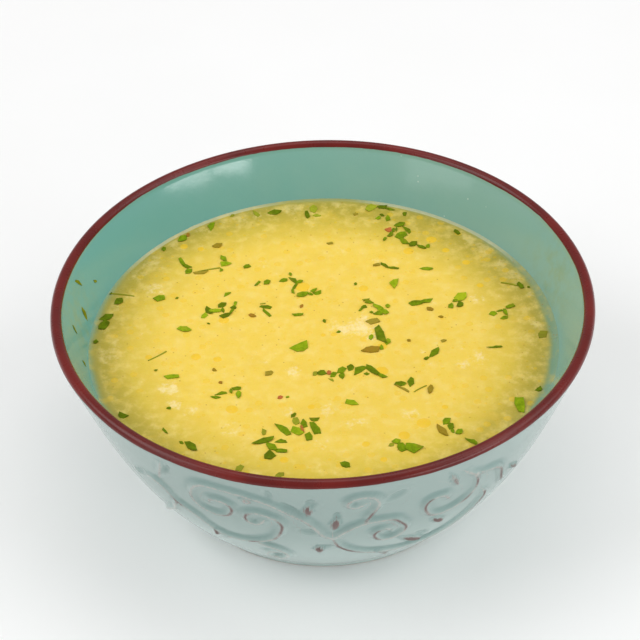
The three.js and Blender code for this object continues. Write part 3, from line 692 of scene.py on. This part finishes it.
def on_soup(x, y, heading, height, tilt=(0.0, 0.0)):
    """A frame on the soup with its X along the heading."""
    turn = Matrix.Rotation(math.radians(heading), 4, "Z")
    lean = Matrix.Rotation(tilt[0], 4, "X") @ Matrix.Rotation(tilt[1], 4, "Y")
    return Matrix.Translation(Vector((x, y, soup_level + height)) * mm) @ turn @ lean


def on_inside(turn, height, lean):
    """A frame lying on the inside of the wall, with its X along the wall at a lean from level."""
    radius = float(inside_radius(height)) - 0.1
    angle = math.radians(turn)
    out = Vector((math.sin(angle), -math.cos(angle), 0))
    along = Vector((math.cos(angle), math.sin(angle), 0))
    steep = float(inside_radius(height + 1) - inside_radius(height - 1)) / 2
    up = (out * steep + Vector((0, 0, 1))).normalized()
    place = Matrix.Translation((out * radius + Vector((0, 0, height))) * mm)
    axes = Matrix((along, up, along.cross(up))).transposed().to_4x4()
    return place @ axes @ Matrix.Rotation(math.radians(lean), 4, "Z")


def make_leaves(patterns):
    laid = []
    for i, (x, y, length, width, heading, tone) in enumerate(leaves_afloat + leaves_sunk):
        sunk = i >= len(leaves_afloat)
        tilt = (0.08 * (chance(i + 60) - 0.5), 0.08 * (chance(i + 70) - 0.5))
        height = sunk_height if sunk else afloat_height + 0.1 * chance(i + 80)
        place = on_soup(x, y, heading, height, tilt)
        pattern = patterns[i % pattern_count]
        laid.append(lay(pattern, length, width, leaf_thickness, place, i, f"leaf_{i}"))
        paint(laid[-1], tone=tone, film=sunk_film * sunk)
    for i, (turn, height, length, width, lean) in enumerate(stuck):
        place = on_inside(turn, height, lean)
        pattern = patterns[(i + 2) % pattern_count]
        laid.append(lay(pattern, length, width, stuck_thickness, place, i + 400, f"stuck_{i}"))
        paint(laid[-1], tone=0.1, film=stuck_film)
    return joined("chopped_parsley", laid)


def make_scraps(patterns):
    laid = []
    for i, (x, y, length, width, heading, tone) in enumerate(scraps):
        place = on_soup(x, y, heading, scrap_height)
        pattern = patterns[(i + 4) % pattern_count]
        laid.append(lay(pattern, length, width, scrap_thickness, place, i + 900, f"scrap_{i}"))
        paint(laid[-1], tone=tone)
    return joined("browned_scraps", laid)


def make_stalks():
    laid = []
    for i, (x, y, length, heading) in enumerate(stalks):
        bpy.ops.object.select_all(action="DESELECT")
        bpy.ops.mesh.primitive_cylinder_add(vertices=8, radius=stalk_radius * mm, depth=length * mm)
        stalk = bpy.context.object
        stalk.name = f"stalk_{i}"
        cut_finer(stalk, 3)
        place = on_soup(x, y, heading, afloat_height)
        bend = 0.5 * (chance(i + 31) - 0.5) * mm
        for corner in stalk.data.vertices:
            share = corner.co.z / (length * mm)
            bow = bend * math.cos(share * math.pi)
            thick = 0.75 + 0.35 * chance(i + 17) + 0.2 * share
            across, up = corner.co.x * thick + bow, corner.co.y * thick
            corner.co = place @ Vector((corner.co.z, across, up))
        paint(stalk, tone=0.3, film=sunk_film)
        laid.append(stalk)
    return joined("parsley_stems", laid)


# ---------------------------------------------------------------- finishes


def srgb(code):
    """A colour as the shader wants it, from a web colour."""
    channels = [int(code[i : i + 2], 16) / 255 for i in (1, 3, 5)]
    return tuple(c / 12.92 if c <= 0.04045 else ((c + 0.055) / 1.055) ** 2.4 for c in channels) + (1,)


class Value:
    """A socket that arithmetic can be written on."""

    def __init__(self, finish, socket):
        self.finish, self.socket = finish, socket

    def maths(self, operation, *others):
        sockets = dict(enumerate((self, *others)))
        return self.finish.node("ShaderNodeMath", {"operation": operation}, sockets)

    def reflected(self, operation, other):
        return self.finish.node("ShaderNodeMath", {"operation": operation}, {0: other, 1: self})

    def __add__(self, other):
        return self.maths("ADD", other)

    def __sub__(self, other):
        return self.maths("SUBTRACT", other)

    def __mul__(self, other):
        return self.maths("MULTIPLY", other)

    def __truediv__(self, other):
        return self.maths("DIVIDE", other)

    def __pow__(self, other):
        return self.maths("POWER", other)

    def __abs__(self):
        return self.maths("ABSOLUTE")

    def __radd__(self, other):
        return self.reflected("ADD", other)

    def __rsub__(self, other):
        return self.reflected("SUBTRACT", other)

    def __rmul__(self, other):
        return self.reflected("MULTIPLY", other)

    def most(self, other):
        return self.maths("MAXIMUM", other)

    def least(self, other):
        return self.maths("MINIMUM", other)

    def eased(self, low, high):
        """0 below low and 1 above high, or the other way round where low is above high."""
        return self.finish.node(
            "ShaderNodeMapRange",
            {"interpolation_type": "SMOOTHSTEP"},
            {"Value": self, "From Min": low, "From Max": high, "To Min": 0, "To Max": 1},
        )


class Finish:
    """A material under construction."""

    def __init__(self, name, **uniform):
        self.material = bpy.data.materials.new(name)
        self.material.use_nodes = True
        self.tree = self.material.node_tree
        self.shader = self.tree.nodes["Principled BSDF"]
        for socket, value in uniform.items():
            self.shader.inputs[socket.replace("_", " ")].default_value = value
        self.place = self.node("ShaderNodeTexCoord", {}, {}, "Object")

    def node(self, kind, settings, sockets, output=0):
        made = self.tree.nodes.new(kind)
        for name, value in settings.items():
            setattr(made, name, value)
        for name, value in sockets.items():
            if isinstance(value, Value):
                self.tree.links.new(value.socket, made.inputs[name])
            else:
                made.inputs[name].default_value = value
        return Value(self, made.outputs[output])

    def mix(self, factor, first, second):
        """The first colour where the factor is 0 and the second where it is 1."""
        first, second = (srgb(colour) if isinstance(colour, str) else colour
                         for colour in (first, second))
        sockets = {0: factor, 6: first, 7: second}
        return self.node("ShaderNodeMix", {"data_type": "RGBA"}, sockets, 2)

    def ramp(self, share, stops):
        """A run of colours, each a web colour at its share of the way."""
        colour = self.node("ShaderNodeValToRGB", {}, {"Fac": share})
        elements = colour.socket.node.color_ramp.elements
        for i, (at, code) in enumerate(stops):
            stop = elements[i] if i < len(elements) else elements.new(at)
            stop.position, stop.color = at, srgb(code)
        return colour

    def axis(self, name):
        return self.node("ShaderNodeSeparateXYZ", {}, {"Vector": self.place}, name) * (1 / mm)

    def painted(self, name):
        return self.node("ShaderNodeAttribute", {"attribute_name": name}, {}, "Fac")

    def moved(self, seed):
        """The place moved along X, for another part of the same noise."""
        return self.node("ShaderNodeVectorMath", {"operation": "ADD"}, {0: self.place, 1: (seed, 0, 0)})

    def grain(self, size, detail=2, roughness=0.5, seed=0.0):
        """Noise about 0.5 with features of a size in millimetres."""
        return self.node(
            "ShaderNodeTexNoise",
            {"noise_dimensions": "3D"},
            {"Vector": self.moved(seed), "Scale": 1 / (size * mm), "Detail": detail,
             "Roughness": roughness},
        )

    def cells(self, size, seed=0.0, dimensions="2D"):
        """Distance in cells to the nearest of scattered points, a size apart in millimetres."""
        return self.node(
            "ShaderNodeTexVoronoi",
            {"voronoi_dimensions": dimensions},
            {"Vector": self.moved(seed), "Scale": 1 / (size * mm)},
        )

    def near(self, x, y, z, reach):
        """1 at a place in millimetres, fading to 0 at its reach."""
        place = (x * mm, y * mm, z * mm)
        offset = self.node(
            "ShaderNodeVectorMath", {"operation": "DISTANCE"}, {0: self.place, 1: place}, "Value"
        )
        return offset.eased(reach * mm, 0)

    def feed(self, socket, value):
        self.tree.links.new(value.socket, self.shader.inputs[socket])

    def bump(self, height, depth, strength=1.0):
        """Unevenness of a depth in millimetres."""
        sockets = {"Height": height, "Distance": depth * mm, "Strength": strength}
        self.feed("Normal", self.node("ShaderNodeBump", {}, sockets, "Normal"))


glaze_ior = 1.42
wet_ior = 1.36

thin_celadon_floor_lit, thin_celadon_upper = "#b9cbc7", "#95a9a4"
pooled_celadon = "#7c9792"
crest_line = "#c3b5ad"
bare_mauve = "#684c49"
inner_teal_shaded_left, inner_teal_lit_right = "#6ea8a0", "#8ab2a6"
olive_patch_colour = "#8fa06b"
pale_speck_colour = "#d3e2da"
maroon_dark, maroon_light = "#5a0903", "#6e1208"
clay_pale, clay_dark = "#b59a80", "#a0856d"


def relief_glaze(glaze, z, cloud, mottle, fine):
    """The colour of the glaze outside, and how bare the crests of the relief are."""
    crest, wear, pool = (glaze.painted(name) for name in ("crest", "wear", "pool"))
    thick = (pool + (cloud - 0.5) * 0.5 + (mottle - 0.5) * 0.25).eased(0.05, 1.05)
    # Painted light: the thin glaze lighter towards the foot, standing in for light bounced up from the pale
    # floor
    thin = glaze.mix(z.eased(6, 42), thin_celadon_floor_lit, thin_celadon_upper)
    colour = glaze.mix(thick, thin, pooled_celadon)
    line = abs(crest + (fine - 0.5) * 0.4).eased(0.7, 0.1) * fine.eased(0.3, 0.6)
    colour = glaze.mix(line * 0.55, colour, crest_line)
    worn = (wear + (mottle - 0.5) * 1.1 + (fine - 0.5) * 0.7).eased(0.2, 0.85)
    bare = abs(crest + (fine - 0.5) * 0.3).eased(0.62, 0.2) * worn
    return glaze.mix(bare * 0.9, colour, bare_mauve), bare


def inner_glaze(glaze, x, cloud):
    """The colour of the glaze above the soup, with painted light on its right side, painted shade on its
    left, olive patches and pale specks.
    """
    # Painted light: the inner wall lighter and warmer towards the right; painted shade: darker and bluer
    # towards the left
    colour = glaze.mix((x + (cloud - 0.5) * 60).eased(-70, 75), inner_teal_shaded_left, inner_teal_lit_right)
    # Olive patches on the inner wall near the soup, at the left and at the right
    olive_patch = (glaze.near(68, 18, 54, 26) + glaze.near(-70, 4, 54, 22)).least(1)
    olive_patch = olive_patch * glaze.grain(5, 3, 0.6, 2.0).eased(0.35, 0.7)
    colour = glaze.mix(olive_patch * 0.45, colour, olive_patch_colour)
    # Pale specks on the inner wall at the back right
    dots = glaze.cells(3.4, 2.2, "3D").eased(0.1, 0.05) * glaze.near(42, 62, 58, 34)
    return glaze.mix(dots * 0.6, colour, pale_speck_colour)


def stoneware_glaze():
    glaze = Finish("celadon_and_maroon_glaze", IOR=glaze_ior)
    x, y, z = glaze.axis("X"), glaze.axis("Y"), glaze.axis("Z")
    cloud, mottle, fine = glaze.grain(14, 3), glaze.grain(3.2, 3, 0.6), glaze.grain(0.7, 2, 0.6)
    outer, bare = relief_glaze(glaze, z, cloud, mottle, fine)
    colour = glaze.mix(glaze.painted("inside"), outer, inner_glaze(glaze, x, cloud))

    # The maroon lip, with a wandering lower border that is lower outside
    border = z + (mottle - 0.5) * 0.3 + (glaze.grain(24, 1, 0.5, 7.0) - 0.5) * 1.4
    outside = ((x * x + y * y) ** 0.5).eased(77.2, 78.6)
    dark = (border - (bowl_height - 1.35 - 0.4 * outside)).eased(-0.12, 0.12)
    maroon = glaze.mix(cloud.eased(0.3, 0.75), maroon_dark, maroon_light)
    colour = glaze.mix(dark, colour, maroon)

    # Bare clay where the foot stands
    clay = (z + (fine - 0.5) * 0.3).eased(0.35, 0.1)
    colour = glaze.mix(clay, colour, glaze.mix(mottle, clay_pale, clay_dark))
    glaze.feed("Base Color", colour)
    glaze.feed("Roughness", 0.1 + 0.08 * mottle + 0.25 * bare + 0.5 * clay + 0.14 * dark)
    glaze.bump(cloud * 0.7 + mottle * 0.22 + fine * 0.08, 0.1)
    return glaze.material


# The broth's colour from the middle out to where it is thin over the glaze, darkened towards the edge by
# painted shade from the wall
broth_and_painted_shade_stops = [
    (0, "#f1ce50"), (0.66, "#f2d052"), (0.81, "#e0c347"), (0.88, "#c8b040"), (0.93, "#b9a63c"),
    (0.957, "#b3a54a"), (0.968, "#a6a357"), (0.977, "#92a270"), (0.986, "#82a284"),
]
broth_reach = 70  # the radius at the ramp's end
broth_painted_shadow = "#a99a36"
broth_light, broth_deep = "#f8dc7c", "#e8c445"
curd_cream, curd_at_rim = "#fce6a6", "#e4cf84"
fat_yellow = "#f3c416"
speck_brown = "#a87a18"
meniscus_highlight_white = "#e4ead4"


def soup_finish():
    soup = Finish("cloudy_yellow_soup", IOR=wet_ior, Subsurface_Weight=0.12, Subsurface_Scale=0.004)
    soup.shader.inputs["Subsurface Radius"].default_value = (1.0, 0.7, 0.2)
    x, y = soup.axis("X"), soup.axis("Y")
    radius = (x * x + y * y) ** 0.5
    cloud, mottle, fine = soup.grain(16, 3), soup.grain(3.5, 4, 0.6), soup.grain(1.1, 3, 0.65)

    # Broth, with painted shade from the wall darker towards the edge, the right and the back, and mottled
    reach = radius - y.eased(15, 55) * 1.3
    afloat = reach.eased(68.2, 66.4)
    # Painted shade: depth also rises towards the right, so the broth is darker there
    depth = reach + (cloud - 0.5) * 2.5 + (x - 20) * 0.012
    colour = soup.ramp(depth / broth_reach, broth_and_painted_shade_stops)
    # Painted shadow of the wall on the broth at the back
    back = (y + x * 0.4).eased(15, 70) * radius.eased(44, 62)
    colour = soup.mix(back * 0.42, colour, broth_painted_shadow)
    colour = soup.mix(mottle.eased(0.4, 0.75) * afloat * 0.55, colour, broth_light)
    colour = soup.mix(soup.grain(6.5, 3, 0.6, 8.0).eased(0.5, 0.3) * 0.35, colour, broth_deep)

    # Flecks of curd, more of them at the rim and fainter there
    flecks = soup.painted("curd") + (cloud - 0.5) * 0.4 + radius.eased(56, 64) * 0.25
    flecks = (flecks * 0.6 + (mottle - 0.5) * 1.0 + (fine - 0.5) * 1.6).eased(0.22, 0.85)
    rim = radius.eased(55, 64)
    curd_colour = soup.mix(rim, curd_cream, curd_at_rim)
    colour = soup.mix(flecks * afloat * (0.8 - 0.25 * rim), colour, curd_colour)

    # Fat in faint, small and large drops
    faint = soup.cells(7.5).eased(0.17, 0.12) * soup.grain(23, 0, 0.5, 5.0).eased(0.42, 0.55)
    small = soup.cells(4.6, 1.7).eased(0.14, 0.08) * soup.grain(17, 0, 0.5, 9.0).eased(0.45, 0.6)
    large = soup.painted("drop").eased(0.3, -0.2)
    fat = (faint * 0.5).most(small * 0.4).most(large) * afloat
    colour = soup.mix(fat * 0.7, colour, fat_yellow)

    specks = soup.cells(5.3, 3.1).eased(0.055, 0.03) * soup.grain(9, 0, 0.5, 4.0).eased(0.53, 0.58)
    colour = soup.mix(specks * 0.55, colour, speck_brown)
    # Painted highlight: a whitish line along the meniscus at the back
    meniscus_highlight_mask = radius.eased(69.1, 69.4) * y.eased(30, 46) * abs(x).eased(8, 24)
    soup.feed("Base Color", soup.mix(meniscus_highlight_mask * 0.3, colour, meniscus_highlight_white))
    soup.feed("Roughness", 0.22 + 0.16 * mottle - 0.1 * fat)
    soup.bump(mottle * 0.5 + fine * 0.4 + fat * 0.15, 0.22, 0.8)
    return soup.material


leaf_stops = [(0, "#5e6c0a"), (0.3, "#6f850c"), (0.6, "#87a010"), (0.95, "#abb91e")]
leaf_yellowed = "#9a8f24"
soup_film = "#d9bd4a"


def parsley_finish():
    leaf = Finish("parsley_green", IOR=wet_ior, Specular_IOR_Level=0.06)
    mottle, fine = leaf.grain(1.6, 3, 0.6), leaf.grain(0.45, 2, 0.6)
    shade = leaf.painted("tone") + (mottle - 0.5) * 0.9 + (fine - 0.5) * 0.45
    colour = leaf.ramp(shade, leaf_stops)
    colour = leaf.mix(leaf.grain(4.2, 2, 0.5, 1.3).eased(0.6, 0.72) * 0.4, colour, leaf_yellowed)
    leaf.feed("Base Color", leaf.mix(leaf.painted("film"), colour, soup_film))
    leaf.feed("Roughness", 0.42 + 0.25 * fine)
    leaf.bump(fine * 0.5 + mottle * 0.5, 0.12)
    return leaf.material


scrap_stops = [(0, "#a3922a"), (0.4, "#9c7f12"), (0.95, "#c06a34")]
scrap_burnt = "#7a640e"


def scrap_finish():
    scrap = Finish("browned_leaf", IOR=wet_ior, Specular_IOR_Level=0.25)
    mottle, fine = scrap.grain(1.3, 3, 0.6), scrap.grain(0.4, 2, 0.6)
    colour = scrap.ramp(scrap.painted("tone") + (mottle - 0.5) * 0.5, scrap_stops)
    scrap.feed("Base Color", scrap.mix(fine.eased(0.5, 0.75) * 0.5, colour, scrap_burnt))
    scrap.feed("Roughness", 0.45 + 0.25 * fine)
    scrap.bump(fine * 0.5 + mottle * 0.5, 0.12)
    return scrap.material


def floor_finish():
    floor = Finish("pale_floor", Roughness=0.75)
    floor.feed("Base Color", floor.mix(floor.grain(60, 2), "#f6f6f5", "#f9f9f9"))
    return floor.material


# ---------------------------------------------------------------- putting it together


def dress(piece, material, slot, *nodes):
    piece.data.materials.clear()
    piece.data.materials.append(material)
    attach(piece, "root")
    if nodes:
        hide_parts(*nodes)


dress(make_bowl(), stoneware_glaze(), "glazed_stoneware", "bowl")
dress(make_soup(), soup_finish(), "broth", "soup")
patterns = [flake_pattern(seed) for seed in range(pattern_count)]
green = parsley_finish()
dress(make_leaves(patterns), green, "broth")
dress(make_stalks(), green, "broth")
dress(make_scraps(patterns), scrap_finish(), "broth")
for pattern in patterns:
    bpy.data.objects.remove(pattern)

# ---------------------------------------------------------------- floor and light

floor_size = 6
sky_strength = 0.5
lamp_aim = Vector((0, 0, 0.03))
# Soft lamps: name, place, width and height in metres, and power.
lamps = [
    ("overhead", (0.1, 0.35, 1.3), 1.0, 0.8, 3.4),
    ("right_softbox", (1.0, -0.15, 0.95), 1.0, 0.9, 4.8),
    ("left_softbox", (-1.0, -0.15, 0.95), 1.0, 0.9, 7),
    ("window_near", (0.79, -1.01, 0.405), 0.36, 0.17, 1.8),
    ("window_far", (1.1, -0.67, 0.36), 0.47, 0.2, 2.2),
    ("pale_wall", (-1.05, -0.78, 0.33), 0.7, 0.28, 1.1),
]


def add_floor():
    bpy.ops.object.select_all(action="DESELECT")
    bpy.ops.mesh.primitive_plane_add(size=floor_size, location=(0, 0, 0))
    floor = bpy.context.object
    floor.name = "floor"
    floor.data.materials.append(floor_finish())


def add_lamp(name, place, width, height, power):
    data = bpy.data.lights.new(name, "AREA")
    data.shape = "RECTANGLE"
    data.size, data.size_y = width, height
    data.energy = power
    lamp = bpy.data.objects.new(name, data)
    lamp.location = place
    lamp.rotation_euler = (lamp_aim - Vector(place)).to_track_quat("-Z", "Y").to_euler()
    scene.collection.objects.link(lamp)


def add_light():
    world = bpy.data.worlds.new("studio")
    world.use_nodes = True
    background = world.node_tree.nodes["Background"]
    background.inputs["Color"].default_value = (1, 1, 1, 1)
    background.inputs["Strength"].default_value = sky_strength
    scene.world = world
    for lamp in lamps:
        add_lamp(*lamp)
    scene.view_settings.view_transform = "Standard"


add_floor()
add_light()
